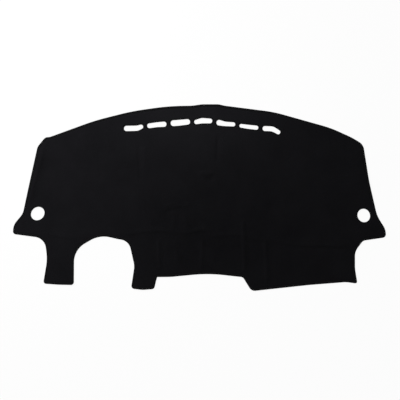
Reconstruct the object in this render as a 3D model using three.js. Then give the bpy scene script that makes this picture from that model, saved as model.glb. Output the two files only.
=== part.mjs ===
// Fitted dashboard cover mat, laid flat. A black laminated cloth pad is cut to the plan of a
// left-hand-drive dashboard, and a folded tape is sewn over every cut edge: the outer edge, the
// seven windscreen demister slots and the two round holes over the corner speakers.
// Millimetres, +Z up. +X runs to the passenger's side, +Y to the windscreen, and Z = 0 is the
// surface that the pad lies on. In the outline, X = 0 is midway between the wing tips and Y = 0
// is the bend line, where the top of the dashboard turns down into its face. Above that line lies
// the dashboard's top, below it hang the legs and aprons that cover its face.

import * as THREE from "three";

// The cloth pad and the tape, in section.
const padThickness = 4;
const pinchedThickness = 1.6;
const shoulderRun = 3.5;
const holeShoulderRun = 2;
const tapeThickness = 0.7;
const tapeClearance = 0.3;
const edgeTapeWidth = 9;
const holeTapeWidth = 5;

// How far the flat facets may lie inside a true arc, the least radius of a mitred corner, and how
// much of an edge its two arcs may take up.
const chordError = 0.4;
const mitreRadius = 0.4;
const arcShare = 0.97;

// The two main sizes: across the wing tips, and from the bend line to the windscreen's crown.
const wingSpan = 1450;
const topDepth = 515;

// Every corner of the outline says where it is by one place across and one place along, and by the
// radius of its arc. Across, reach is from the middle and inside is in from the wing tip's line.
// Along, below is from the windscreen's crown, and height and drop are from the bend line.

// The windscreen edge: a low flat crown a little to the passenger's side, and long bends from it.
const windscreen = {
  driverBends: [
    { reach: 120, below: 7, radius: 900 },
    { reach: 262, below: 27, radius: 900 },
    { inside: 320, below: 63, radius: 900 },
  ],
  driverCrownFoot: { reach: 28, below: 5.5, radius: 90 },
  crownStart: { reach: 10, below: 0, radius: 60 },
  crownEnd: { reach: 75, below: 0, radius: 60 },
  passengerCrownFoot: { reach: 98, below: 5.5, radius: 90 },
  passengerBends: [
    { reach: 290, below: 30, radius: 500 },
    { inside: 215, below: 92, radius: 450 },
    { inside: 135, below: 128, radius: 300 },
  ],
};

// The two shoulders at the ends of the windscreen edge.
const driverShoulder = {
  corner: { inside: 120.5, below: 134.5, radius: 5 },
  chamfer: { inside: 96, below: 165, radius: 37 },
};
const passengerShoulder = {
  corner: { inside: 88, below: 156, radius: 42 },
  sideBend: { inside: 65, below: 301, radius: 800 },
};

// The edge tape starts and ends at the driver's shoulder, and its lap stands a little proud there.
// The lap's two bends are so far along from that corner, and so far up.
const tapeLap = {
  start: { along: 8, up: 6, radius: 3 },
  end: { along: 23.5, up: 7.5, radius: 20 },
};

// The wings reach out at the bend line, over the ends of the dashboard.
const driverWing = {
  neck: { inside: 38.5, height: 89.5, radius: 60 },
  brow: { inside: 2.5, height: 46.5, radius: 57 },
  tip: { inside: -1, height: 10.5, radius: 12 },
};
const passengerWing = {
  neck: { inside: 34, height: 81, radius: 120 },
  brow: { inside: 1, height: 28, radius: 60 },
  tip: { inside: -0.5, drop: 2.5, radius: 14 },
  root: { inside: 89, drop: 15.5, radius: 25 },
};

// The driver's leg hangs between the door and the steering column, beside the arch. A leg's sole
// bows down between its two feet.
const archSide = 487;
const driverLeg = {
  armpit: { inside: 123, drop: 6, radius: 48 },
  waist: { inside: 133.5, drop: 87, radius: 196 },
  outerFoot: { inside: 117.5, drop: 182.5, radius: 10 },
  sole: { bow: 1.5, radius: 200 },
  innerFoot: { reach: archSide + 1, drop: 188, radius: 12 },
};

// The arch clears the steering column and its shroud.
const columnArch = {
  outerShoulder: { reach: archSide, drop: 50.5, radius: 84 },
  crown: { reach: 387.5, height: 7, radius: 105 },
  dip: { reach: 319, drop: 9, radius: 60 },
  innerShoulder: { reach: 274.5, drop: 16.5, radius: 45 },
};

// The middle leg hangs between the steering column and the centre console.
const middleLeg = {
  waist: { reach: 252.5, drop: 113.5, radius: 80 },
  outerFoot: { reach: 266, drop: 201.5, radius: 12 },
  sole: { bow: 4.5, radius: 100 },
  innerFoot: { reach: 176, drop: 203.5, radius: 13 },
  crotch: { reach: 164.5, drop: 157, radius: 3 },
};

// The console edge bows up between the middle leg and the glovebox apron.
const consoleEdge = {
  driverBend: { reach: 112, drop: 156.5, radius: 200 },
  crown: { reach: 35, drop: 142.5, radius: 590 },
  step: { reach: 169, drop: 157.5, radius: 16 },
};

// The glovebox apron, up to the passenger's door.
const gloveboxApron = {
  innerFoot: { reach: 202.5, drop: 212, radius: 25 },
  hem: { reach: 425, drop: 188, radius: 400 },
  notch: { inside: 155, drop: 176.5, radius: 60 },
  outerFoot: { inside: 110.5, drop: 182.5, radius: 6.5 },
  waist: { inside: 120, drop: 124, radius: 100 },
  armpit: { inside: 120, drop: 57.5, radius: 55 },
};

// Demister slots, from the driver's side. Each is a bent slot with round ends: its length, its
// widths at the driver's end, the bend and the passenger's end, where along it the bend lies, the
// lean of its two halves in degrees, and how far the bend is set back from the windscreen edge.
const slots = [
  { length: 73.5, widths: [20.5, 20.5, 14.5], bendAt: 0.7, leans: [1, 21], setback: 68.5 },
  { length: 74.5, widths: [18, 18.5, 20.5], bendAt: 0.5, leans: [8, 4], setback: 66 },
  { length: 75, widths: [22.5, 22.5, 20.5], bendAt: 0.4, leans: [4, 6], setback: 65.5 },
  { length: 69.5, widths: [15, 21, 17.5], bendAt: 0.42, leans: [13, -2], setback: 63.5 },
  { length: 72.5, widths: [23, 17, 15.5], bendAt: 0.45, leans: [-12, -3], setback: 71 },
  { length: 73, widths: [14, 15.5, 16], bendAt: 0.5, leans: [-8, -6], setback: 70.5 },
  { length: 67.5, widths: [19, 19.5, 15.5], bendAt: 0.58, leans: [-2, -31], setback: 65 },
];
const slotRowCentre = 10;
const slotBridgeLand = 2.2;
const slotBendRadius = 40;

// Round holes over the corner speakers, cut by hand and so a little oval.
const speakerHoles = {
  driver: { inside: 96.5, height: 90, long: 55.5, short: 48.5, lean: 43 },
  passenger: { inside: 86, height: 82.5, long: 52.5, short: 48, lean: 114.5 },
};
const speakerHolePoints = 24;

// A closed outline: a polygon, each corner [x, y, radius] rounded by an arc. The cloth lies to
// the left of its direction, so an outer edge runs counterclockwise and a hole clockwise. It can
// be moved into the cloth by as much as depth.
class RoundedOutline {
  constructor(corners, depth) {
    const points = corners.map(([x, y]) => new THREE.Vector2(x, y));
    const count = points.length;
    const along = points.map((p, i) => points[(i + 1) % count].clone().sub(p));
    const edges = along.map((v) => v.length());
    const ways = along.map((v) => v.clone().normalize());
    const turns = ways.map((way, i) => {
      const before = ways[(i + count - 1) % count];
      return Math.atan2(before.cross(way), before.dot(way));
    });
    // An arc takes up a length of both its edges. A tight corner keeps the length that it needs
    // when it is moved in to a mitre, and wider arcs share what is left.
    const isTight = turns.map((turn, i) => turn > 0 && corners[i][2] < depth);
    const claims = turns.map((turn, i) => {
      const radius = isTight[i] ? depth : corners[i][2];
      return radius * Math.tan(Math.abs(turn) / 2);
    });
    const shares = edges.map((edge, i) => {
      const ends = [i, (i + 1) % count];
      const claimOf = (tight) =>
        ends.filter((end) => isTight[end] === tight).reduce((sum, end) => sum + claims[end], 0);
      return (arcShare * edge - claimOf(true)) / claimOf(false);
    });
    this.corners = points.map((point, i) => {
      const before = (i + count - 1) % count;
      const share = isTight[i] ? 1 : Math.min(1, shares[i], shares[before]);
      const radius = corners[i][2] * share;
      const step = 2 * Math.acos(Math.max(0, 1 - chordError / radius));
      const steps = Math.max(1, Math.ceil(Math.abs(turns[i]) / step));
      return { point, wayIn: ways[before], wayOut: ways[i], turn: turns[i], radius, steps };
    });
  }

  // The outline moved into the cloth by inset. Every inset gives the same number of points, one
  // for one, and a corner sharper than the inset becomes a mitre.
  ring(inset) {
    return this.corners.flatMap(({ point, wayIn, wayOut, turn, radius, steps }) => {
      const side = Math.sign(turn) || 1;
      const leftIn = new THREE.Vector2(-wayIn.y, wayIn.x);
      const leftOut = new THREE.Vector2(-wayOut.y, wayOut.x);
      const reach = inset / (1 + leftIn.dot(leftOut));
      const corner = leftIn.clone().add(leftOut).multiplyScalar(reach).add(point);
      const r = Math.max(radius - side * inset, mitreRadius);
      const tangent = r * Math.tan(Math.abs(turn) / 2);
      const start = corner.clone().addScaledVector(wayIn, -tangent);
      const centre = start.clone().addScaledVector(leftIn, side * r);
      return Array.from({ length: steps + 1 }, (_, k) =>
        start.clone().rotateAround(centre, (turn * k) / steps),
      );
    });
  }
}

// An oval hole about its own centre, run clockwise.
class OvalOutline {
  constructor(long, short) {
    this.halfLong = long / 2;
    this.halfShort = short / 2;
  }

  ring(inset) {
    return Array.from({ length: speakerHolePoints }, (_, k) => {
      const angle = (-2 * Math.PI * k) / speakerHolePoints;
      const x = this.halfLong * Math.cos(angle);
      const y = this.halfShort * Math.sin(angle);
      const out = new THREE.Vector2(x / this.halfLong ** 2, y / this.halfShort ** 2).normalize();
      return new THREE.Vector2(x, y).addScaledVector(out, inset);
    });
  }
}

// A closed surface put together from rings of points.
class Surface {
  constructor() {
    this.positions = [];
    this.faces = [];
  }

  ring(points, z) {
    const first = this.positions.length / 3;
    points.forEach((p) => this.positions.push(p.x, p.y, z));
    return { first, count: points.length };
  }

  // The wall between two rings of as many points.
  wall(from, to) {
    for (let i = 0; i < from.count; i += 1) {
      const next = (i + 1) % from.count;
      this.faces.push(from.first + i, to.first + i, from.first + next);
      this.faces.push(from.first + next, to.first + i, to.first + next);
    }
  }

  geometry() {
    const geometry = new THREE.BufferGeometry();
    geometry.setAttribute("position", new THREE.Float32BufferAttribute(this.positions, 3));
    geometry.setIndex(this.faces);
    geometry.computeVertexNormals();
    return geometry;
  }
}

// Half heights about the pad's middle plane: the pinched pad, the inside and the outside of the
// folded tape. The tape's fold is a half round, and the pad's nose points into it.
const middle = padThickness / 2;
const pinchedHalf = pinchedThickness / 2;
const tapeInsideHalf = pinchedHalf + tapeClearance;
const tapeOutsideHalf = tapeInsideHalf + tapeThickness;
const noseInset = tapeThickness + tapeClearance * Math.SQRT2;

// How far in from its cut edge the pad is at its full thickness again.
const edgeDepth = edgeTapeWidth + tapeClearance + shoulderRun;
const holeDepth = holeTapeWidth + tapeClearance + holeShoulderRun;

// The tape's section, as [inset, z] points that run counterclockwise round its wall.
function tapeSection(width) {
  const fold = [1, 2, 3].map((k) => {
    const angle = (Math.PI * (k + 2)) / 4;
    return [
      tapeOutsideHalf + tapeOutsideHalf * Math.cos(angle),
      middle + tapeOutsideHalf * Math.sin(angle),
    ];
  });
  return [
    [width, middle + tapeOutsideHalf],
    [tapeOutsideHalf, middle + tapeOutsideHalf],
    ...fold,
    [tapeOutsideHalf, middle - tapeOutsideHalf],
    [width, middle - tapeOutsideHalf],
    [width, middle - tapeInsideHalf],
    [tapeThickness + tapeInsideHalf, middle - tapeInsideHalf],
    [tapeThickness, middle],
    [tapeThickness + tapeInsideHalf, middle + tapeInsideHalf],
    [width, middle + tapeInsideHalf],
  ];
}

// The pad's edge, from its top face over the pinched nose to its underside.
function padEdgeSection(width, depth) {
  const seam = width + tapeClearance;
  return [
    [depth, padThickness],
    [seam, middle + pinchedHalf],
    [noseInset + pinchedHalf, middle + pinchedHalf],
    [noseInset, middle],
    [noseInset + pinchedHalf, middle - pinchedHalf],
    [seam, middle - pinchedHalf],
    [depth, 0],
  ];
}

function sweepTape(outline, width) {
  const surface = new Surface();
  const rings = tapeSection(width).map(([inset, z]) => surface.ring(outline.ring(inset), z));
  rings.forEach((ring, i) => surface.wall(ring, rings[(i + 1) % rings.length]));
  return surface.geometry();
}

// Where a corner or a hole is, on the passenger's side.
function placeOf({ reach, inside, below, height, drop }) {
  const x = reach ?? wingSpan / 2 - inside;
  const y = below === undefined ? (height ?? -drop) : topDepth - below;
  return new THREE.Vector2(x, y);
}

function onPassengerSide(corner) {
  const { x, y } = placeOf(corner);
  return [x, y, corner.radius];
}

function onDriverSide(corner) {
  const { x, y } = placeOf(corner);
  return [-x, y, corner.radius];
}

function lapCorner({ along, up, radius }) {
  const [x, y] = onDriverSide(driverShoulder.corner);
  return [x + along, y + up, radius];
}

function soleCorner({ outerFoot, innerFoot, sole }) {
  const [outerX, outerY] = onDriverSide(outerFoot);
  const [innerX, innerY] = onDriverSide(innerFoot);
  return [(outerX + innerX) / 2, (outerY + innerY) / 2 - sole.bow, sole.radius];
}

// The outer edge, counterclockwise from the driver's end of the windscreen edge.
function outerOutline() {
  const passengerHalf = [
    consoleEdge.crown,
    consoleEdge.step,
    gloveboxApron.innerFoot,
    gloveboxApron.hem,
    gloveboxApron.notch,
    gloveboxApron.outerFoot,
    gloveboxApron.waist,
    gloveboxApron.armpit,
    passengerWing.root,
    passengerWing.tip,
    passengerWing.brow,
    passengerWing.neck,
    passengerShoulder.sideBend,
    passengerShoulder.corner,
    ...[...windscreen.passengerBends].reverse(),
    windscreen.passengerCrownFoot,
    windscreen.crownEnd,
    windscreen.crownStart,
  ];
  const corners = [
    lapCorner(tapeLap.end),
    lapCorner(tapeLap.start),
    ...Object.values(driverShoulder).map(onDriverSide),
    ...Object.values(driverWing).map(onDriverSide),
    onDriverSide(driverLeg.armpit),
    onDriverSide(driverLeg.waist),
    onDriverSide(driverLeg.outerFoot),
    soleCorner(driverLeg),
    onDriverSide(driverLeg.innerFoot),
    ...Object.values(columnArch).map(onDriverSide),
    onDriverSide(middleLeg.waist),
    onDriverSide(middleLeg.outerFoot),
    soleCorner(middleLeg),
    onDriverSide(middleLeg.innerFoot),
    onDriverSide(middleLeg.crotch),
    onDriverSide(consoleEdge.driverBend),
    ...passengerHalf.map(onPassengerSide),
    onDriverSide(windscreen.driverCrownFoot),
    ...windscreen.driverBends.map(onDriverSide),
  ];
  return new RoundedOutline(corners, edgeDepth);
}

// How high the windscreen edge stands at x.
function windscreenHeight(outline, x) {
  const ring = outline.ring(0);
  const heights = ring.map((p, i) => {
    const q = ring[(i + 1) % ring.length];
    const crosses = (p.x - x) * (q.x - x) <= 0 && p.x !== q.x;
    return crosses ? p.y + ((q.y - p.y) * (x - p.x)) / (q.x - p.x) : -Infinity;
  });
  return Math.max(...heights);
}

// A slot about its bend, run clockwise: over the top from the driver's end, and back underneath.
function slotOutline({ length, widths, bendAt, leans }) {
  const [driverHalf, bendHalf, passengerHalf] = widths.map((w) => w / 2);
  const [driverLean, passengerLean] = leans.map(THREE.MathUtils.degToRad);
  const driverWay = new THREE.Vector2(Math.cos(driverLean), Math.sin(driverLean));
  const passengerWay = new THREE.Vector2(Math.cos(passengerLean), Math.sin(passengerLean));
  const driverEnd = driverWay.clone().multiplyScalar((-length * bendAt) / driverWay.x);
  const passengerEnd = passengerWay
    .clone()
    .multiplyScalar((length * (1 - bendAt)) / passengerWay.x);
  const up = (way) => new THREE.Vector2(-way.y, way.x);
  const bendUp = up(driverWay.clone().add(passengerWay).normalize());
  const corner = (at, normal, half, radius) => [
    at.x + normal.x * half,
    at.y + normal.y * half,
    radius,
  ];
  const middlePoint = new THREE.Vector2();
  const corners = [
    corner(driverEnd, up(driverWay), driverHalf, driverHalf),
    corner(middlePoint, bendUp, bendHalf, slotBendRadius),
    corner(passengerEnd, up(passengerWay), passengerHalf, passengerHalf),
    corner(passengerEnd, up(passengerWay), -passengerHalf, passengerHalf),
    corner(middlePoint, bendUp, -bendHalf, slotBendRadius),
    corner(driverEnd, up(driverWay), -driverHalf, driverHalf),
  ];
  return new RoundedOutline(corners, holeDepth);
}

// The slots in their row: a sewn bridge of cloth stays between each two, wide enough for the
// tapes of both and the pad's shoulders.
function slotCutouts(outer) {
  const bridge = 2 * holeDepth + slotBridgeLand;
  const lengths = slots.map((slot) => slot.length);
  const total = lengths.reduce((sum, length) => sum + length, 0) + bridge * (slots.length - 1);
  let start = slotRowCentre - total / 2;
  return slots.map((slot, i) => {
    const x = start + slot.length * slot.bendAt;
    const y = windscreenHeight(outer, x) - slot.setback;
    start += slot.length + bridge;
    const at = new THREE.Vector2(x, y);
    return { name: `slot_${i + 1}`, outline: slotOutline(slot), at, lean: 0 };
  });
}

function speakerCutouts() {
  return Object.entries(speakerHoles).map(([side, hole]) => {
    const at = placeOf(hole);
    at.x *= side === "driver" ? -1 : 1;
    const lean = THREE.MathUtils.degToRad(hole.lean);
    return { name: `speaker_hole_${side}`, outline: new OvalOutline(hole.long, hole.short), at, lean };
  });
}

function buildPad(outer, cutouts) {
  const surface = new Surface();
  const centre = new THREE.Vector2();
  const placed = (points, { at, lean }) =>
    points.map((p) => p.clone().rotateAround(centre, lean).add(at));
  const outerEdge = padEdgeSection(edgeTapeWidth, edgeDepth);
  const holeEdge = padEdgeSection(holeTapeWidth, holeDepth);
  const edges = [
    outerEdge.map(([inset, z]) => ({ points: outer.ring(inset), z })),
    ...cutouts.map((cutout) =>
      holeEdge.map(([inset, z]) => ({ points: placed(cutout.outline.ring(inset), cutout), z })),
    ),
  ];
  const walls = edges.map((edge) => edge.map(({ points, z }) => surface.ring(points, z)));
  walls.forEach((rings) => rings.slice(1).forEach((ring, i) => surface.wall(rings[i], ring)));
  // The two faces are one flat plan, so they share its triangles.
  const [plan, ...holes] = edges.map((edge) => edge[0].points);
  const vertexOf = (rings) =>
    rings.flatMap(({ first, count }) => Array.from({ length: count }, (_, i) => first + i));
  const top = vertexOf(walls.map((rings) => rings[0]));
  const underside = vertexOf(walls.map((rings) => rings[rings.length - 1]));
  THREE.ShapeUtils.triangulateShape(plan, holes).forEach(([a, b, c]) => {
    surface.faces.push(top[a], top[b], top[c]);
    surface.faces.push(underside[a], underside[c], underside[b]);
  });
  return surface.geometry();
}

const clothMaterial = new THREE.MeshStandardMaterial({
  color: 0x19191b,
  roughness: 0.95,
  metalness: 0,
});
const tapeMaterial = new THREE.MeshStandardMaterial({
  color: 0x131315,
  roughness: 0.75,
  metalness: 0,
});

function named(name, geometry, material) {
  const mesh = new THREE.Mesh(geometry, material);
  mesh.name = name;
  return mesh;
}

function buildMat() {
  const outer = outerOutline();
  const cutouts = [...slotCutouts(outer), ...speakerCutouts()];
  const mat = new THREE.Group();
  mat.add(named("cloth_pad", buildPad(outer, cutouts), clothMaterial));
  mat.add(named("edge_tape", sweepTape(outer, edgeTapeWidth), tapeMaterial));
  cutouts.forEach(({ name, outline, at, lean }) => {
    const tape = named(`${name}_tape`, sweepTape(outline, holeTapeWidth), tapeMaterial);
    tape.position.set(at.x, at.y, 0);
    tape.rotation.z = lean;
    mat.add(tape);
  });
  // The origin is under the middle of the mat's box.
  const box = new THREE.Box3().setFromObject(mat);
  const boxCentre = box.getCenter(new THREE.Vector3());
  mat.position.set(-boxCentre.x, -boxCentre.y, 0);
  return mat;
}

export default buildMat();
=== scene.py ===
import math
from collections import deque

import bmesh
import bpy
from mathutils import Matrix, Vector, noise
from mathutils.geometry import delaunay_2d_cdt
from mathutils.kdtree import KDTree


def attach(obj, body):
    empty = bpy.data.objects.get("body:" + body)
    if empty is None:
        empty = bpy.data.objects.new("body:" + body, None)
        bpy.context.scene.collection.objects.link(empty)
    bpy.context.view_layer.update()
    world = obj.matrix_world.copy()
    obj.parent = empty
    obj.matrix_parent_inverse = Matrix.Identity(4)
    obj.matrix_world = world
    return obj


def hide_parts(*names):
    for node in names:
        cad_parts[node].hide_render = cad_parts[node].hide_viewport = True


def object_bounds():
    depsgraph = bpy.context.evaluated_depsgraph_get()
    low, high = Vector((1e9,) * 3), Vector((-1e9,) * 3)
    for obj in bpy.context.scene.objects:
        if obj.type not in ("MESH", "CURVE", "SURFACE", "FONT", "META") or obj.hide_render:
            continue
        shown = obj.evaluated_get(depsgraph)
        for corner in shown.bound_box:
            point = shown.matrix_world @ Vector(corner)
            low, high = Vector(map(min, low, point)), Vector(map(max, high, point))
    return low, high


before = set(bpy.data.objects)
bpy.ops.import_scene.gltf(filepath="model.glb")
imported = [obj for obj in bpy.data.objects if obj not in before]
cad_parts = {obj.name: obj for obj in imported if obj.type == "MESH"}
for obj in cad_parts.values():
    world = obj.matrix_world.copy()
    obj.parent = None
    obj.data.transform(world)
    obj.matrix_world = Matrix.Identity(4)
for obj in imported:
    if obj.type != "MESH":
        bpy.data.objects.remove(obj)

cadLow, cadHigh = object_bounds()
print("frame loaded, CAD box", [round(v, 4) for v in (cadHigh - cadLow)])

# Sizes are in metres. The mat lies on z = 0 and its cloth face is at z = 0.004.
midHeight = 0.002
padFace = 0.004
tapeFace = 0.0038
mergeDistance = 0.00002


# rims of the CAD solids, which every sewn edge follows

def enclosedArea(points):
    total = 0.0
    for here, after in zip(points, points[1:] + points[:1]):
        total += here.x * after.y - after.x * here.y
    return total / 2


def middleOf(points):
    return sum(points, Vector((0, 0))) / len(points)


def closedLoops(links):
    loops, seen = [], set()
    for start in links:
        if start in seen:
            continue
        loop, here = [start], start
        seen.add(start)
        while True:
            onward = [v for v in links[here] if v not in seen]
            if not onward:
                break
            here = onward[0]
            seen.add(here)
            loop.append(here)
        loops.append(loop)
    return loops


def rimLoops(nodeName, level):
    # a CAD mesh is loose triangles, so a copy is merged before its rims are followed
    solid = bmesh.new()
    solid.from_mesh(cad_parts[nodeName].data)
    bmesh.ops.remove_doubles(solid, verts=solid.verts[:], dist=mergeDistance)
    onLevel = {v for v in solid.verts if abs(v.co.z - level) < mergeDistance}
    links = {}
    for edge in solid.edges:
        first, second = edge.verts
        if first not in onLevel or second not in onLevel:
            continue
        flatFaces = [f for f in edge.link_faces if all(v in onLevel for v in f.verts)]
        if len(flatFaces) < 2:
            links.setdefault(first, []).append(second)
            links.setdefault(second, []).append(first)
    loops = []
    for loop in closedLoops(links):
        points = [v.co.xy.copy() for v in loop]
        if enclosedArea(points) < 0:
            points.reverse()
        loops.append(points)
    solid.free()
    return sorted(loops, key=enclosedArea)


def rolledTo(reference, loop):
    # the rings of one edge have the same points in the same order, so only the start differs
    count = len(reference)
    if len(loop) != count:
        raise ValueError("rings differ: %d and %d points" % (count, len(loop)))
    probes = range(0, count, max(1, count // 24))

    def distance(shift):
        return sum((loop[(i + shift) % count] - reference[i]).length for i in probes)

    best = min(range(count), key=distance)
    return loop[best:] + loop[:best]


chordSpread = 0.06        # share by which two chords of one arc may differ
cornerTurn = 0.6          # radians between two sides, from which they meet at a corner


def arcBulges(ring):
    # a CAD arc is a run of equal chords: each chord bows out again by its own sagitta
    count = len(ring)
    sides = [ring[(i + 1) % count] - ring[i] for i in range(count)]
    lengths = [side.length for side in sides]

    def turnAt(i):
        before, after = sides[i - 1], sides[i % count]
        return math.atan2(before.x * after.y - before.y * after.x, before.dot(after))

    bulges = []
    for i in range(count):
        turns = []
        if abs(lengths[i] / lengths[i - 1] - 1) < chordSpread:
            turns.append(turnAt(i))
        if abs(lengths[i] / lengths[(i + 1) % count] - 1) < chordSpread:
            turns.append(turnAt((i + 1) % count))
        turn = sum(turns) / len(turns) if turns else 0.0
        bulges.append(lengths[i] * turn / 8 if abs(turn) < cornerTurn else 0.0)
    return bulges


def sewnEdge(tapeNode, padLoops, tapeWidth, padInset, hole):
    rims = rimLoops(tapeNode, midHeight)
    faces = rimLoops(tapeNode, tapeFace)
    cutEdge = rims[0] if hole else rims[-1]
    freeEdge = faces[-1] if hole else faces[0]
    centre = middleOf(cutEdge)
    padEdge = min(padLoops, key=lambda loop: abs(enclosedArea(loop) - enclosedArea(freeEdge))
                  + (middleOf(loop) - centre).length)
    rings = [cutEdge, rolledTo(cutEdge, freeEdge), rolledTo(cutEdge, padEdge)]
    return {
        "node": tapeNode,
        "hole": hole,
        "insets": [0.0, tapeWidth, padInset],
        "rings": rings,
        "bulges": [arcBulges(ring) for ring in rings],
    }


def stationsAlong(edge, spacing):
    rings = edge["rings"]
    count = len(rings[0])
    stations = []
    for i in range(count):
        side = max((ring[(i + 1) % count] - ring[i]).length for ring in rings)
        pieces = max(1, math.ceil(side / spacing))
        stations += [(i, k / pieces) for k in range(pieces)]
    return stations


def ringPoint(edge, which, station):
    i, share = station
    ring = edge["rings"][which]
    first, second = ring[i], ring[(i + 1) % len(ring)]
    side = second - first
    point = first.lerp(second, share)
    if side.length > 1e-9:
        bow = 4 * edge["bulges"][which][i] * share * (1 - share)
        point = point + Vector((side.y, -side.x)) / side.length * bow
    return point


def pointAtInset(edge, inset, station):
    near, far = (0, 1) if inset <= edge["insets"][1] else (1, 2)
    span = edge["insets"][far] - edge["insets"][near]
    share = (inset - edge["insets"][near]) / span
    return ringPoint(edge, near, station).lerp(ringPoint(edge, far, station), share)


outerEdgeSizes = {"tapeWidth": 0.009, "padInset": 0.0128}
holeEdgeSizes = {"tapeWidth": 0.005, "padInset": 0.0073}
holeTapeNodes = ["slot_%d_tape" % i for i in range(1, 8)]
holeTapeNodes += ["speaker_hole_driver_tape", "speaker_hole_passenger_tape"]

padLoops = rimLoops("cloth_pad", padFace)
outerEdge = sewnEdge("edge_tape", padLoops, hole=False, **outerEdgeSizes)
holeEdges = [sewnEdge(name, padLoops, hole=True, **holeEdgeSizes) for name in holeTapeNodes]
allEdges = [outerEdge] + holeEdges
print("rims followed:", [len(edge["rings"][0]) for edge in allEdges])


# how the whole limp sheet lies: nearly flat, with slack swells and one curled side

sheetLie = {
    "broadRise": 0.0044, "broadSize": (0.25, 0.19), "broadShare": 0.22, "highest": 0.0034,
    "fineRise": 0.0007, "fineSize": 0.085,
    # the driver's end keeps a curl from its packing, in from a line with these two ends
    "curlLine": ((-0.603, 0.19), (-0.661, -0.02)), "curlRise": 0.0074, "curlReach": 0.015,
    "curlFadeIn": (-0.25, 0.2), "curlFadeOut": (0.75, 1.2),
}


def smoothStep(low, high, value):
    share = min(1.0, max(0.0, (value - low) / (high - low)))
    return share * share * (3 - 2 * share)


def lineShareAndDistance(x, y, ends):
    (x0, y0), (x1, y1) = ends
    runX, runY = x1 - x0, y1 - y0
    length = math.hypot(runX, runY)
    share = ((x - x0) * runX + (y - y0) * runY) / length ** 2
    across = ((x - x0) * runY - (y - y0) * runX) / length
    return share, across, length


def lieAt(x, y):
    wide, deep = sheetLie["broadSize"]
    broad = noise.noise(Vector((x / wide, y / deep, 2.6)))
    rise = sheetLie["broadRise"] * max(0.0, sheetLie["broadShare"] + broad) ** 1.5
    rise = sheetLie["highest"] * math.tanh(rise / sheetLie["highest"])
    fine = noise.noise(Vector((x / sheetLie["fineSize"], y / sheetLie["fineSize"], 8.2)))
    rise += sheetLie["fineRise"] * max(0.0, 0.3 + fine)
    share, across, _ = lineShareAndDistance(x, y, sheetLie["curlLine"])
    along = smoothStep(*sheetLie["curlFadeIn"], share)
    along *= 1 - smoothStep(*sheetLie["curlFadeOut"], share)
    # outside the line the rim stays up, inside it the sheet falls back to the floor
    inward = max(0.0, -across)
    rise += sheetLie["curlRise"] * along * math.exp(-inward / sheetLie["curlReach"])
    return rise


# helpers for new meshes

def newPiece(name, mesh):
    for vertex in mesh.verts:
        vertex.co.z += lieAt(vertex.co.x, vertex.co.y)
    data = bpy.data.meshes.new(name)
    mesh.to_mesh(data)
    mesh.free()
    for polygon in data.polygons:
        polygon.use_smooth = True
    piece = bpy.data.objects.new(name, data)
    bpy.context.scene.collection.objects.link(piece)
    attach(piece, "root")
    return piece


# the binding tape, folded over each edge and drawn in at every stitch

bindingTape = {
    "sampleSpacing": 0.00135,
    "stitchPitch": 0.004,
    "stitchShare": 0.82,      # of the tape's width, from the fold
    "drawWidth": 0.16,        # share of the width over which a stitch draws the tape in
    "drawnAbove": 0.0011,     # height from which the section is drawn in
    "needleDip": 0.00026,
    "betweenRise": 0.00008,
    "handWobble": 0.00022,
    "wobblesPerMetre": 22,
    "wobbleWidth": 0.006,     # narrower tapes than this have none
    # share of the tape's width from the fold, and height above the middle of the mat
    "outside": [(0.015, 0.00062), (0.075, 0.00136), (0.2, 0.00176), (0.45, 0.00187),
                (0.7, 0.0018), (0.82, 0.00164), (0.92, 0.0018), (0.985, 0.00174),
                (1.0, 0.00132)],
    "inside": [(0.94, 0.0012), (0.16, 0.00095)],
    "insideNose": 0.078,
}


def tapeSection():
    outside, inside = bindingTape["outside"], bindingTape["inside"]
    upper = outside + inside
    lower = [(share, -height) for share, height in reversed(upper)]
    section = [(0.0, 0.0)] + upper + [(bindingTape["insideNose"], 0.0)] + lower
    return section


def stitchPhases(edge, stations):
    # the running length along the stitch line, fitted to whole stitches
    inset = bindingTape["stitchShare"] * edge["insets"][1]
    points = [pointAtInset(edge, inset, s) for s in stations]
    lengths, total = [], 0.0
    for here, after in zip(points, points[1:] + points[:1]):
        lengths.append(total)
        total += (after - here).length
    stitches = max(4, round(total / bindingTape["stitchPitch"]))
    return points, lengths, total, stitches


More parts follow.
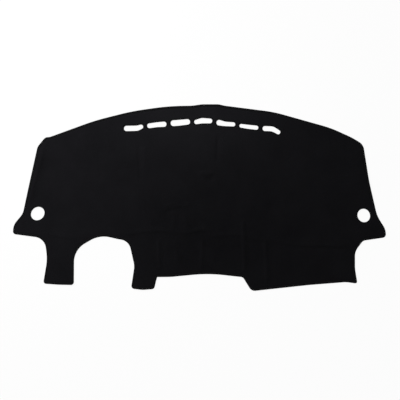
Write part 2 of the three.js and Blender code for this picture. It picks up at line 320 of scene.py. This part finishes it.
def makeBindingTape(edge):
    section = tapeSection()
    stations = stationsAlong(edge, bindingTape["sampleSpacing"])
    points, lengths, total, stitches = stitchPhases(edge, stations)
    width = edge["insets"][1]
    wobbly = bindingTape["handWobble"] if width > bindingTape["wobbleWidth"] else 0.0
    perMetre = bindingTape["wobblesPerMetre"]
    acrossLengths, across = [], 0.0
    for (shareA, heightA), (shareB, heightB) in zip(section, section[1:] + section[:1]):
        acrossLengths.append(across)
        across += math.hypot((shareB - shareA) * width, heightB - heightA)
    mesh = bmesh.new()
    uvLayer = mesh.loops.layers.uv.new("tapeLength")
    rows = []
    for station, length, stitchPoint in zip(stations, lengths, points):
        phase = length / total * stitches * 2 * math.pi
        draw = 0.5 + 0.5 * math.cos(phase)
        wobble = noise.noise(Vector((stitchPoint.x * perMetre, stitchPoint.y * perMetre, 3.7)))
        row = []
        for share, height in section:
            fromStitch = (share - bindingTape["stitchShare"]) / bindingTape["drawWidth"]
            nearStitch = math.exp(-fromStitch ** 2)
            change = bindingTape["betweenRise"] - (bindingTape["needleDip"]
                                                   + bindingTape["betweenRise"]) * draw
            lift = change * nearStitch if abs(height) > bindingTape["drawnAbove"] else 0.0
            side = 1 if height >= 0 else -1
            drift = wobbly * wobble * share
            place = pointAtInset(edge, share * width + drift, station)
            row.append(mesh.verts.new((place.x, place.y, midHeight + height + lift * side)))
        rows.append(row)
    count, sides = len(rows), len(section)
    for k in range(count):
        here, after = rows[k], rows[(k + 1) % count]
        lengthHere = lengths[k]
        lengthAfter = lengths[k + 1] if k + 1 < count else total
        for j in range(sides):
            other = (j + 1) % sides
            face = mesh.faces.new((here[j], after[j], after[other], here[other]))
            acrossOther = acrossLengths[other] if other else across
            spots = [(lengthHere, acrossLengths[j]), (lengthAfter, acrossLengths[j]),
                     (lengthAfter, acrossOther), (lengthHere, acrossOther)]
            for corner, spot in zip(face.loops, spots):
                corner[uvLayer].uv = spot
    bmesh.ops.recalc_face_normals(mesh, faces=mesh.faces[:])
    piece = newPiece(edge["node"].replace("_tape", "_binding"), mesh)
    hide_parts(edge["node"])
    return piece


bindings = [makeBindingTape(edge) for edge in allEdges]
print("binding tapes made:", sum(len(b.data.polygons) for b in bindings), "faces")


# the cloth pad: pinched under the tape, full beyond it, with the relief of a mat once folded

clothPad = {
    "gridSpacing": 0.0052,
    "gridWander": 0.16,       # share of the spacing
    "gridSeed": 5,            # the same wander in each run
    "gridClear": 0.62,        # share of the spacing kept free along a rim
    "edgeSpacing": 0.005,
    "holeSpacing": 0.003,
    "undersideShare": 0.6,    # of a rise, that the underside follows
    # share of the tape's width from the fold, above 1 beyond the tape's free edge; half height
    "rimRings": [(0.15, 0.0005), (0.3, 0.00088), (0.9, 0.00112), (1.03, 0.0012), (1.13, 0.00152),
                 (1.27, 0.00184)],
    "fullHeight": 0.002,
    "outerFade": 0.03,
    "holeFade": 0.014,
    "broadWaves": [(0.19, 0.0009, 11.3), (0.075, 0.0006, 4.1), (0.03, 0.0002, 7.9)],
    # the bend over the dashboard's lip: a low ridge, steep on its lower side
    "bendLine": [(-0.62, -0.146), (-0.46, -0.158), (-0.3, -0.146), (-0.2, -0.132), (-0.15, -0.131),
                 (-0.06, -0.139), (0.02, -0.126), (0.06, -0.15), (0.15, -0.146), (0.25, -0.165),
                 (0.39, -0.186), (0.585, -0.19)],
    "bendHeight": 0.0034,
    "bendWidth": 0.0046,
    "bendLongSide": 2.6,      # times the width of the steep side
    "bendFadeIn": (-0.62, -0.57),
    "bendFadeOut": (0.54, 0.585),
    "bendReach": 9,           # times the width, past which it is nothing
    "bendUsual": 0.62,        # share of its height, which varies along it
    "bendVaries": 0.8,
    "bendChangesPerMetre": 9,
    "bendLeast": 0.42,
    "foldLongSide": 2.4,      # times the width of the steep side
    "foldMargin": 0.02,       # a mark is nothing past this plus foldMarginWidths of its width
    "foldMarginWidths": 6,
    "foldWander": 0.0022,
    "foldWandersPerMetre": 30,
    "foldFade": 0.012,        # length over which a mark dies out at its ends
    "foldFadeMost": 0.4,      # share of a short mark's length
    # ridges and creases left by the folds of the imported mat:
    # first end, second end, height, width; the side towards the lamp is steep, the far one long
    "foldMarks": [((-0.161, -0.165), (-0.157, -0.292), 0.0023, 0.0044),
                  ((-0.096, -0.168), (-0.087, -0.25), 0.0017, 0.004),
                  ((0.009, -0.16), (0.006, -0.292), 0.0022, 0.0044),
                  ((0.168, -0.095), (0.174, -0.292), 0.0031, 0.0046),
                  ((0.254, -0.165), (0.261, -0.335), 0.0024, 0.0048),
                  ((0.07, 0.235), (0.067, 0.14), -0.002, 0.0048),
                  ((-0.238, 0.2), (-0.232, 0.07), -0.0015, 0.005),
                  ((-0.213, 0.2), (-0.217, 0.12), 0.001, 0.005),
                  ((-0.392, 0.18), (-0.386, 0.07), -0.0012, 0.006),
                  ((-0.456, 0.25), (-0.448, 0.18), 0.0012, 0.008),
                  ((-0.36, 0.26), (-0.352, 0.18), 0.001, 0.008),
                  ((-0.13, -0.055), (-0.07, -0.04), -0.0015, 0.0042),
                  ((-0.11, -0.02), (-0.06, -0.035), 0.0013, 0.004),
                  ((-0.062, -0.07), (-0.048, -0.115), 0.0018, 0.0045),
                  ((-0.1, -0.075), (-0.106, -0.12), 0.0016, 0.0045),
                  ((-0.06, -0.034), (-0.036, -0.02), 0.0014, 0.004),
                  ((-0.131, -0.034), (-0.112, -0.026), 0.0013, 0.004),
                  ((-0.1, -0.235), (-0.072, -0.262), 0.0013, 0.0036),
                  ((0.062, -0.235), (0.075, -0.26), -0.0012, 0.004),
                  ((0.0, 0.096), (0.05, 0.094), 0.003, 0.006),
                  ((0.43, -0.16), (0.48, -0.176), 0.0013, 0.0045)],
    "dentReach": 2.5,         # times the radius
    # soft dents: x, y, depth, radius
    "dents": [(0.044, 0.074, 0.0032, 0.014), (0.278, -0.038, 0.0014, 0.014),
              (0.546, 0.045, 0.001, 0.018), (0.068, -0.245, 0.0009, 0.012),
              (-0.31, 0.11, 0.0009, 0.024), (0.42, -0.24, 0.001, 0.022),
              (-0.115, -0.05, 0.0012, 0.013), (0.3, 0.16, 0.0008, 0.02),
              (-0.17, 0.04, 0.0009, 0.02), (-0.5, -0.05, 0.0009, 0.024)],
}


def bendLineRelief(x, y):
    line = clothPad["bendLine"]
    for (x0, y0), (x1, y1) in zip(line, line[1:]):
        if x0 <= x <= x1:
            share = smoothStep(0, 1, (x - x0) / (x1 - x0))
            off = (y - (y0 + (y1 - y0) * share)) / clothPad["bendWidth"]
            if abs(off) > clothPad["bendReach"]:
                return 0.0
            varied = noise.noise(Vector((x * clothPad["bendChangesPerMetre"], 2.2, 0.7)))
            strength = clothPad["bendUsual"] + clothPad["bendVaries"] * varied
            ends = smoothStep(*clothPad["bendFadeIn"], x)
            ends *= 1 - smoothStep(*clothPad["bendFadeOut"], x)
            side = off if off < 0 else off / clothPad["bendLongSide"]
            strength = max(clothPad["bendLeast"], strength)
            return clothPad["bendHeight"] * strength * ends * math.exp(-side * side)
    return 0.0


def foldMarkRelief(x, y, first, second, height, width):
    reach = clothPad["foldMargin"] + clothPad["foldMarginWidths"] * width
    if not (min(first[0], second[0]) - reach < x < max(first[0], second[0]) + reach
            and min(first[1], second[1]) - reach < y < max(first[1], second[1]) + reach):
        return 0.0
    share, across, length = lineShareAndDistance(x, y, (first, second))
    perMetre = clothPad["foldWandersPerMetre"]
    # each mark's height gives it a wander of its own
    wander = noise.noise(Vector((x * perMetre, y * perMetre, height * 9000)))
    across += clothPad["foldWander"] * wander
    fade = min(clothPad["foldFadeMost"], clothPad["foldFade"] / length)
    along = smoothStep(-fade, fade, share) * (1 - smoothStep(1 - fade, 1 + fade, share))
    off = across / width
    # the lamp stands to the upper left, and that side of a mark is the steep one;
    # across grows to the right of the line from its first end to its second
    rightward = Vector((second[1] - first[1], first[0] - second[0]))
    lampIsRight = rightward.dot(Vector((-1.0, 0.8))) > 0
    towardLamp = (across > 0) == lampIsRight
    side = off if towardLamp else off / clothPad["foldLongSide"]
    return height * along * math.exp(-side * side)


def reliefAt(x, y):
    rise = 0.0
    for size, height, seed in clothPad["broadWaves"]:
        rise += height * noise.noise(Vector((x / size, y / size, seed)))
    rise += bendLineRelief(x, y)
    for first, second, height, width in clothPad["foldMarks"]:
        rise += foldMarkRelief(x, y, first, second, height, width)
    for dentX, dentY, depth, radius in clothPad["dents"]:
        away = math.hypot(x - dentX, y - dentY) / radius
        if away < clothPad["dentReach"]:
            rise -= depth * math.exp(-away * away)
    return rise


def rimInset(edge, share):
    width, full = edge["insets"][1], edge["insets"][2]
    if share <= 1:
        return width * share
    return min(full, width + (share - 1) * width)


def insideTriangles(faces, fences):
    # starts outside the outline and changes side at every fence it crosses
    sides = {}
    for number, face in enumerate(faces):
        for first, second in zip(face, list(face[1:]) + [face[0]]):
            sides.setdefault(frozenset((first, second)), []).append(number)
    inside = {}
    waiting = deque()
    for side, owners in sides.items():
        if len(owners) == 1 and owners[0] not in inside:
            inside[owners[0]] = side in fences
            waiting.append(owners[0])
    while waiting:
        number = waiting.popleft()
        face = faces[number]
        for first, second in zip(face, list(face[1:]) + [face[0]]):
            side = frozenset((first, second))
            for other in sides[side]:
                if other not in inside:
                    inside[other] = inside[number] != (side in fences)
                    waiting.append(other)
    return [face for number, face in enumerate(faces) if inside.get(number)]


def makeClothPad():
    flatPoints, fenceSides, edgeRuns = [], [], []
    rimTree = []
    for edge in allEdges:
        spacing = clothPad["holeSpacing"] if edge["hole"] else clothPad["edgeSpacing"]
        stations = stationsAlong(edge, spacing)
        start = len(flatPoints)
        flatPoints += [pointAtInset(edge, edge["insets"][2], s) for s in stations]
        count = len(stations)
        fenceSides += [(start + k, start + (k + 1) % count) for k in range(count)]
        edgeRuns.append((edge, stations, start, count))
        fade = clothPad["holeFade"] if edge["hole"] else clothPad["outerFade"]
        rimTree += [(point, fade) for point in flatPoints[start:]]
    tree = KDTree(len(rimTree))
    for number, (point, fade) in enumerate(rimTree):
        tree.insert((point.x, point.y, 0), number)
    tree.balance()
    step = clothPad["gridSpacing"]
    rowStep = step * math.sqrt(3) / 2
    noise.seed_set(clothPad["gridSeed"])
    rowNumber, y = 0, cadLow.y + 0.003
    while y < cadHigh.y:
        x = cadLow.x + 0.003 + (step / 2 if rowNumber % 2 else 0)
        while x < cadHigh.x:
            wander = noise.noise_vector(Vector((x * 90, y * 90, 0.4)))
            wander = wander * step * clothPad["gridWander"]
            spot = Vector((x + wander.x, y + wander.y))
            if tree.find((spot.x, spot.y, 0))[2] > step * clothPad["gridClear"]:
                flatPoints.append(spot)
            x += step
        rowNumber += 1
        y += rowStep
    verts, edges, faces, fromVerts, fromEdges, _ = delaunay_2d_cdt(
        flatPoints, fenceSides, [], 0, 1e-7, True)
    newNumber = {}
    for number, sources in enumerate(fromVerts):
        for source in sources:
            newNumber[source] = number
    fences = {frozenset(edges[n]) for n, sources in enumerate(fromEdges) if sources}
    kept = insideTriangles(faces, fences)
    used = sorted({v for face in kept for v in face})

    mesh = bmesh.new()
    top, bottom = {}, {}
    for number in used:
        spot = verts[number]
        found = tree.find((spot.x, spot.y, 0))
        fade = smoothStep(0, rimTree[found[1]][1], found[2])
        rise = reliefAt(spot.x, spot.y) * fade
        top[number] = mesh.verts.new((spot.x, spot.y, midHeight + clothPad["fullHeight"] + rise))
        lift = max(0.0, rise) * clothPad["undersideShare"]
        bottom[number] = mesh.verts.new((spot.x, spot.y, midHeight - clothPad["fullHeight"] + lift))
    for face in kept:
        mesh.faces.new([top[v] for v in face])
        mesh.faces.new([bottom[v] for v in reversed(face)])
    for edge, stations, start, count in edgeRuns:
        rings = []
        for share, height in clothPad["rimRings"]:
            rings.append((rimInset(edge, share), height))
        upper, lower = [], []
        for side, ladderHalf in ((1, upper), (-1, lower)):
            for inset, height in rings:
                level = midHeight + side * height
                ladderHalf.append([mesh.verts.new((*pointAtInset(edge, inset, s), level))
                                   for s in stations])
        upper.append([top[newNumber[start + k]] for k in range(count)])
        lower.append([bottom[newNumber[start + k]] for k in range(count)])
        ladder = lower[::-1] + upper
        for here, after in zip(ladder, ladder[1:]):
            for k in range(count):
                corners = [here[k], here[(k + 1) % count], after[(k + 1) % count], after[k]]
                distinct = list(dict.fromkeys(corners))
                if len(distinct) > 2:
                    mesh.faces.new(distinct)
    bmesh.ops.recalc_face_normals(mesh, faces=mesh.faces[:])
    loose = [e for e in mesh.edges if len(e.link_faces) != 2]
    print("pad:", len(mesh.faces), "faces,", len(loose), "open edges")
    print("pad area", round(sum(face.calc_area() for face in mesh.faces) / 2, 3))
    piece = newPiece("mat_cloth", mesh)
    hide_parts("cloth_pad")
    return piece


padPiece = makeClothPad()


# sewing thread: one stitch modelled once, then laid along every stitch line

sewingThread = {
    "length": 0.0033,
    "width": 0.00056,
    "height": 0.0004,
    "lie": 0.00172,          # height of the thread's middle above the middle of the mat
    "middleWidth": 1.12,     # times the width, less endNarrowing at the ends
    "endNarrowing": 0.3,
    "slant": 0.1,            # radians off the seam
    "slantWander": 0.05,
    "endDip": 0.00022,       # how far the ends go down into the needle holes
    "stationSpacing": 0.0018,
    "roundLength": 0.0015,   # of the twist's pattern, once round the thread
}


def makeBaseStitch():
    bpy.ops.object.select_all(action="DESELECT")
    bpy.ops.mesh.primitive_uv_sphere_add(segments=8, ring_count=5, radius=0.5, location=(0, 0, 0))
    stitch = bpy.context.object
    bpy.ops.object.mode_set(mode="EDIT")
    bpy.ops.mesh.select_all(action="SELECT")
    bpy.ops.transform.rotate(value=math.pi / 2, orient_axis="Y", center_override=(0, 0, 0))
    size = (sewingThread["length"], sewingThread["width"], sewingThread["height"])
    bpy.ops.transform.resize(value=size, center_override=(0, 0, 0))
    bpy.ops.object.mode_set(mode="OBJECT")
    for vertex in stitch.data.vertices:
        along = vertex.co.x / sewingThread["length"] * 2
        vertex.co.z -= sewingThread["endDip"] * along ** 4
        narrowing = sewingThread["endNarrowing"] * along * along
        vertex.co.y *= sewingThread["middleWidth"] - narrowing
    points = [v.co.copy() for v in stitch.data.vertices]
    # sorted, because the sphere's faces come in another order each run
    faces = sorted(list(p.vertices) for p in stitch.data.polygons)
    bpy.data.objects.remove(stitch, do_unlink=True)
    return points, faces


def makeStitching(name, side):
    points, faces = makeBaseStitch()
    mesh = bmesh.new()
    uvLayer = mesh.loops.layers.uv.new("threadLength")
    number = 0
    for edge in allEdges:
        stations = stationsAlong(edge, sewingThread["stationSpacing"])
        line, lengths, total, stitches = stitchPhases(edge, stations)
        lengths.append(total)
        line.append(line[0])
        k = 0
        for stitch in range(stitches):
            want = (stitch + 0.5) * total / stitches
            while lengths[k + 1] < want:
                k += 1
            share = (want - lengths[k]) / (lengths[k + 1] - lengths[k])
            spot = line[k].lerp(line[k + 1], share)
            heading = line[k + 1] - line[k]
            turn = math.atan2(heading.y, heading.x) + side * sewingThread["slant"]
            wander = noise.noise(Vector((number * 0.77, 1.3, side)))
            turn += sewingThread["slantWander"] * wander
            place = Matrix.Translation((spot.x, spot.y, midHeight + side * sewingThread["lie"]))
            place = place @ Matrix.Rotation(turn, 4, "Z")
            if side < 0:
                place = place @ Matrix.Rotation(math.pi, 4, "X")
            made = [mesh.verts.new(place @ point) for point in points]
            for face in faces:
                polygon = mesh.faces.new([made[v] for v in face])
                for corner, vertex in zip(polygon.loops, face):
                    local = points[vertex]
                    around = math.atan2(local.z, local.y) / (2 * math.pi)
                    corner[uvLayer].uv = (local.x, around * sewingThread["roundLength"])
            number += 1
    piece = newPiece(name, mesh)
    print(name, number, "stitches,", len(piece.data.polygons), "faces")
    return piece


topStitching = makeStitching("top_stitching", 1)
undersideStitching = makeStitching("underside_stitching", -1)


# finishes: groups give the patterns, the shaders stay in the materials

def newGroup(name, inputs, outputs):
    group = bpy.data.node_groups.new(name, "ShaderNodeTree")
    for label, kind, value in inputs:
        socket = group.interface.new_socket(label, in_out="INPUT", socket_type=kind)
        if value is not None:
            socket.default_value = value
    for label, kind in outputs:
        group.interface.new_socket(label, in_out="OUTPUT", socket_type=kind)
    start = group.nodes.new("NodeGroupInput")
    end = group.nodes.new("NodeGroupOutput")
    return group, start, end


def mathNode(tree, operation, first, second=None, third=None):
    node = tree.nodes.new("ShaderNodeMath")
    node.operation = operation
    for place, value in enumerate((first, second, third)):
        if value is None:
            continue
        if isinstance(value, (int, float)):
            node.inputs[place].default_value = value
        else:
            tree.links.new(value, node.inputs[place])
    return node.outputs[0]


def noiseNode(tree, vector, scale, detail, roughness=0.55):
    node = tree.nodes.new("ShaderNodeTexNoise")
    node.inputs["Detail"].default_value = detail
    node.inputs["Roughness"].default_value = roughness
    tree.links.new(vector, node.inputs["Vector"])
    if isinstance(scale, (int, float)):
        node.inputs["Scale"].default_value = scale
    else:
        tree.links.new(scale, node.inputs["Scale"])
    return node.outputs[0]


def softPatch(tree, vector, place, reach):
    # 1 at its place, falling smoothly to 0 at its reach
    moved = tree.nodes.new("ShaderNodeVectorMath")
    moved.operation = "SUBTRACT"
    moved.inputs[1].default_value = (*place, 0)
    tree.links.new(vector, moved.inputs[0])
    scaled = tree.nodes.new("ShaderNodeVectorMath")
    scaled.operation = "MULTIPLY"
    scaled.inputs[1].default_value = (1 / reach[0], 1 / reach[1], 0)
    tree.links.new(moved.outputs[0], scaled.inputs[0])
    away = tree.nodes.new("ShaderNodeVectorMath")
    away.operation = "LENGTH"
    tree.links.new(scaled.outputs[0], away.inputs[0])
    fall = tree.nodes.new("ShaderNodeMapRange")
    fall.interpolation_type = "SMOOTHSTEP"
    fall.inputs["To Min"].default_value = 1.0
    fall.inputs["To Max"].default_value = 0.0
    tree.links.new(away.outputs["Value"], fall.inputs["Value"])
    return fall.outputs["Result"]


def makeBrushedNapGroup():
    # short brushed pile: single fibres, the tufts they lean in and broad stroked patches, plus a
    # painted highlight patch and a painted shade patch
    group, start, end = newGroup("brushedNap", [
        ("Vector", "NodeSocketVector", None), ("Fibre Scale", "NodeSocketFloat", 1500.0),
        ("Tuft Scale", "NodeSocketFloat", 230.0), ("Stroke Scale", "NodeSocketFloat", 9.0),
        ("Painted Highlight", "NodeSocketFloat", 0.0), ("Painted Shade", "NodeSocketFloat", 0.0)],
        [("Shade", "NodeSocketFloat"), ("Height", "NodeSocketFloat")])
    stretch = group.nodes.new("ShaderNodeMapping")
    stretch.inputs["Scale"].default_value = (1.0, 0.62, 1.0)
    group.links.new(start.outputs["Vector"], stretch.inputs["Vector"])
    fibres = noiseNode(group, stretch.outputs[0], start.outputs["Fibre Scale"], 2.0)
    tufts = noiseNode(group, stretch.outputs[0], start.outputs["Tuft Scale"], 3.0)
    strokes = noiseNode(group, start.outputs["Vector"], start.outputs["Stroke Scale"], 4.0, 0.6)
    shade = mathNode(group, "MULTIPLY", strokes, 0.45)
    shade = mathNode(group, "MULTIPLY_ADD", tufts, 0.25, shade)
    shade = mathNode(group, "MULTIPLY_ADD", fibres, 0.3, shade)
    # a painted highlight patch under the slots and a painted shade patch over the middle of the
    # front, set in the colour
    paintedHighlight = softPatch(group, start.outputs["Vector"], (-0.01, 0.31), (0.46, 0.22))
    paintedShade = softPatch(group, start.outputs["Vector"], (0.1, -0.16), (0.62, 0.36))
    lighter = mathNode(group, "MULTIPLY", paintedHighlight, start.outputs["Painted Highlight"])
    darker = mathNode(group, "MULTIPLY", paintedShade, start.outputs["Painted Shade"])
    shade = mathNode(group, "ADD", shade, lighter)
    shade = mathNode(group, "SUBTRACT", shade, darker)
    height = mathNode(group, "MULTIPLY", fibres, 0.45)
    height = mathNode(group, "MULTIPLY_ADD", tufts, 0.55, height)
    group.links.new(shade, end.inputs["Shade"])
    group.links.new(height, end.inputs["Height"])
    return group


def makeRibbedWeaveGroup():
    # ribs across the tape with the finer warp between them
    group, start, end = newGroup("ribbedWeave", [
        ("Vector", "NodeSocketVector", None), ("Rib Pitch", "NodeSocketFloat", 0.0007),
        ("Warp Pitch", "NodeSocketFloat", 0.00045)],
        [("Shade", "NodeSocketFloat"), ("Height", "NodeSocketFloat")])
    parts = group.nodes.new("ShaderNodeSeparateXYZ")
    group.links.new(start.outputs["Vector"], parts.inputs[0])
    ribTurns = mathNode(group, "DIVIDE", parts.outputs["X"], start.outputs["Rib Pitch"])
    warpTurns = mathNode(group, "DIVIDE", parts.outputs["Y"], start.outputs["Warp Pitch"])
    ribs = mathNode(group, "SINE", mathNode(group, "MULTIPLY", ribTurns, 2 * math.pi))
    warps = mathNode(group, "SINE", mathNode(group, "MULTIPLY", warpTurns, 2 * math.pi))
    height = mathNode(group, "MULTIPLY_ADD", ribs, 0.35, 0.5)
    height = mathNode(group, "MULTIPLY_ADD", warps, 0.15, height)
    blotches = noiseNode(group, start.outputs["Vector"], 60.0, 3.0)
    shade = mathNode(group, "MULTIPLY", height, 0.55)
    shade = mathNode(group, "MULTIPLY_ADD", blotches, 0.45, shade)
    group.links.new(shade, end.inputs["Shade"])
    group.links.new(height, end.inputs["Height"])
    return group


def makeTwistedThreadGroup():
    group, start, end = newGroup("twistedThread", [
        ("Vector", "NodeSocketVector", None), ("Twist Pitch", "NodeSocketFloat", 0.0007)],
        [("Shade", "NodeSocketFloat"), ("Height", "NodeSocketFloat")])
    parts = group.nodes.new("ShaderNodeSeparateXYZ")
    group.links.new(start.outputs["Vector"], parts.inputs[0])
    slanted = mathNode(group, "ADD", parts.outputs["X"], parts.outputs["Y"])
    turns = mathNode(group, "DIVIDE", slanted, start.outputs["Twist Pitch"])
    strands = mathNode(group, "SINE", mathNode(group, "MULTIPLY", turns, 2 * math.pi))
    height = mathNode(group, "MULTIPLY_ADD", strands, 0.5, 0.5)
    group.links.new(height, end.inputs["Shade"])
    group.links.new(height, end.inputs["Height"])
    return group


brushedNap = makeBrushedNapGroup()
ribbedWeave = makeRibbedWeaveGroup()
twistedThread = makeTwistedThreadGroup()


def fabricMaterial(name, look, group, coordinate, uvMap=None):
    material = bpy.data.materials.new(name)
    material.use_nodes = True
    tree = material.node_tree
    shader = tree.nodes["Principled BSDF"]
    shader.inputs["Roughness"].default_value = look["roughness"]
    shader.inputs["Specular IOR Level"].default_value = look["specular"]
    shader.inputs["Sheen Weight"].default_value = look["sheen"]
    shader.inputs["Sheen Roughness"].default_value = look["sheenRoughness"]
    if uvMap:
        source = tree.nodes.new("ShaderNodeUVMap")
        source.uv_map = uvMap
        vector = source.outputs["UV"]
    else:
        source = tree.nodes.new("ShaderNodeTexCoord")
        vector = source.outputs[coordinate]
    pattern = tree.nodes.new("ShaderNodeGroup")
    pattern.node_tree = group
    for label, value in look["pattern"].items():
        pattern.inputs[label].default_value = value
    tree.links.new(vector, pattern.inputs["Vector"])
    tone = tree.nodes.new("ShaderNodeMix")
    tone.data_type = "RGBA"
    colours = [socket for socket in tone.inputs if socket.type == "RGBA"]
    colours[0].default_value = (*look["darkColour"], 1)
    colours[1].default_value = (*look["lightColour"], 1)
    spread = tree.nodes.new("ShaderNodeMapRange")
    spread.inputs["From Min"].default_value = look["shadeRange"][0]
    spread.inputs["From Max"].default_value = look["shadeRange"][1]
    tree.links.new(pattern.outputs["Shade"], spread.inputs["Value"])
    tree.links.new(spread.outputs["Result"], tone.inputs["Factor"])
    mixed = [socket for socket in tone.outputs if socket.type == "RGBA"][0]
    tree.links.new(mixed, shader.inputs["Base Color"])
    bump = tree.nodes.new("ShaderNodeBump")
    bump.inputs["Strength"].default_value = look["bumpStrength"]
    bump.inputs["Distance"].default_value = look["bumpDistance"]
    tree.links.new(pattern.outputs["Height"], bump.inputs["Height"])
    tree.links.new(bump.outputs["Normal"], shader.inputs["Normal"])
    return material


clothLook = {
    "darkColour": (0.00255, 0.00247, 0.00315), "lightColour": (0.00935, 0.00908, 0.01075),
    "shadeRange": (0.2, 1.0), "roughness": 0.95, "specular": 0.05, "sheen": 0.03,
    "sheenRoughness": 0.5, "bumpStrength": 0.85, "bumpDistance": 0.0012,
    "pattern": {"Fibre Scale": 1500.0, "Tuft Scale": 230.0, "Stroke Scale": 9.0,
                # the last two set how strong the painted highlight under the slots and the painted
                # shade over the front are
                "Painted Highlight": 0.38, "Painted Shade": 0.2},
}
tapeLook = {
    "darkColour": (0.0018, 0.0018, 0.0021), "lightColour": (0.0046, 0.0045, 0.0051),
    "shadeRange": (0.2, 0.8), "roughness": 0.85, "specular": 0.06, "sheen": 0.01,
    "sheenRoughness": 0.4, "bumpStrength": 0.55, "bumpDistance": 0.00015,
    "pattern": {"Rib Pitch": 0.0007, "Warp Pitch": 0.00045},
}
threadLook = {
    "darkColour": (0.0028, 0.0028, 0.0032), "lightColour": (0.007, 0.007, 0.0078),
    "shadeRange": (0.0, 1.0), "roughness": 0.65, "specular": 0.14, "sheen": 0.01,
    "sheenRoughness": 0.4, "bumpStrength": 0.6, "bumpDistance": 0.00008,
    "pattern": {"Twist Pitch": 0.0007},
}
brushedBlackCloth = fabricMaterial("brushedBlackCloth", clothLook, brushedNap, "Object")
blackBindingTape = fabricMaterial("blackBindingTape", tapeLook, ribbedWeave, None, "tapeLength")
blackThread = fabricMaterial("blackThread", threadLook, twistedThread, None, "threadLength")

padPiece.data.materials.append(brushedBlackCloth)
for piece in bindings:
    piece.data.materials.append(blackBindingTape)
for piece in (topStitching, undersideStitching):
    piece.data.materials.append(blackThread)
print("finishes applied")


# floor, light and camera

studio = {
    "floorSize": 60.0,
    "floorColour": (0.9, 0.9, 0.9),
    "shadowShare": 0.05,
    "worldFill": 0.16,
    "keyPlace": (-1.45, 1.15, 1.3),
    "keySize": 0.8,
    "keyPower": 56.0,
    "fillPlace": (0.9, -0.6, 2.6),
    "fillSize": 2.5,
    "fillPower": 4.0,
}


def backgroundRays(tree):
    path = tree.nodes.new("ShaderNodeLightPath")
    seen = mathNode(tree, "MAXIMUM", path.outputs["Is Camera Ray"], path.outputs["Is Glossy Ray"])
    return mathNode(tree, "MAXIMUM", seen, path.outputs["Is Transmission Ray"])


def makeFloor():
    bpy.ops.object.select_all(action="DESELECT")
    bpy.ops.mesh.primitive_plane_add(size=studio["floorSize"], location=(0, 0, 0))
    floor = bpy.context.object
    floor.name = "studio_floor"
    for vertex in floor.data.vertices:
        vertex.co.z = -0.0004
    material = bpy.data.materials.new("paperWhiteFloor")
    material.use_nodes = True
    tree = material.node_tree
    tree.nodes.remove(tree.nodes["Principled BSDF"])
    output = tree.nodes["Material Output"]
    matt = tree.nodes.new("ShaderNodeBsdfDiffuse")
    matt.inputs["Color"].default_value = (*studio["floorColour"], 1)
    glow = tree.nodes.new("ShaderNodeEmission")
    glow.inputs["Strength"].default_value = 1.0
    lit = tree.nodes.new("ShaderNodeMixShader")
    lit.inputs["Fac"].default_value = studio["shadowShare"]
    tree.links.new(glow.outputs[0], lit.inputs[1])
    tree.links.new(matt.outputs[0], lit.inputs[2])
    choice = tree.nodes.new("ShaderNodeMixShader")
    tree.links.new(backgroundRays(tree), choice.inputs["Fac"])
    tree.links.new(matt.outputs[0], choice.inputs[1])
    tree.links.new(lit.outputs[0], choice.inputs[2])
    tree.links.new(choice.outputs[0], output.inputs["Surface"])
    floor.data.materials.append(material)


def makeWorld():
    world = bpy.data.worlds.new("studioWorld")
    bpy.context.scene.world = world
    world.use_nodes = True
    tree = world.node_tree
    background = tree.nodes["Background"]
    background.inputs["Color"].default_value = (1, 1, 1, 1)
    rays = backgroundRays(tree)
    strength = mathNode(tree, "MULTIPLY_ADD", rays, 1 - studio["worldFill"], studio["worldFill"])
    tree.links.new(strength, background.inputs["Strength"])


def makeLamp(name, place, size, power):
    data = bpy.data.lights.new(name, "AREA")
    data.shape = "DISK"
    data.size = size
    data.energy = power
    lamp = bpy.data.objects.new(name, data)
    bpy.context.scene.collection.objects.link(lamp)
    lamp.location = place
    lamp.rotation_euler = (-Vector(place)).to_track_quat("-Z", "Y").to_euler()


makeFloor()
makeWorld()
makeLamp("key_lamp", studio["keyPlace"], studio["keySize"], studio["keyPower"])
makeLamp("fill_lamp", studio["fillPlace"], studio["fillSize"], studio["fillPower"])

photoFrame = {
    "pixelSize": 0.0038873,       # metres of mat to one pixel of the 400 pixel frame
    "pixels": 400,
    "middle": (0.00227, -0.0096),
    "lens": 200.0,
}
camera = bpy.data.objects.new("camera", bpy.data.cameras.new("camera"))
bpy.context.scene.collection.objects.link(camera)
camera.data.lens = photoFrame["lens"]
camera.data.clip_end = 200
viewWidth = photoFrame["pixelSize"] * photoFrame["pixels"]
distance = viewWidth * photoFrame["lens"] / camera.data.sensor_width
camera.location = (*photoFrame["middle"], padFace + distance)
camera.rotation_euler = (0, 0, 0)
bpy.context.scene.camera = camera
bpy.context.scene.view_settings.view_transform = "Standard"
print("studio and camera set")
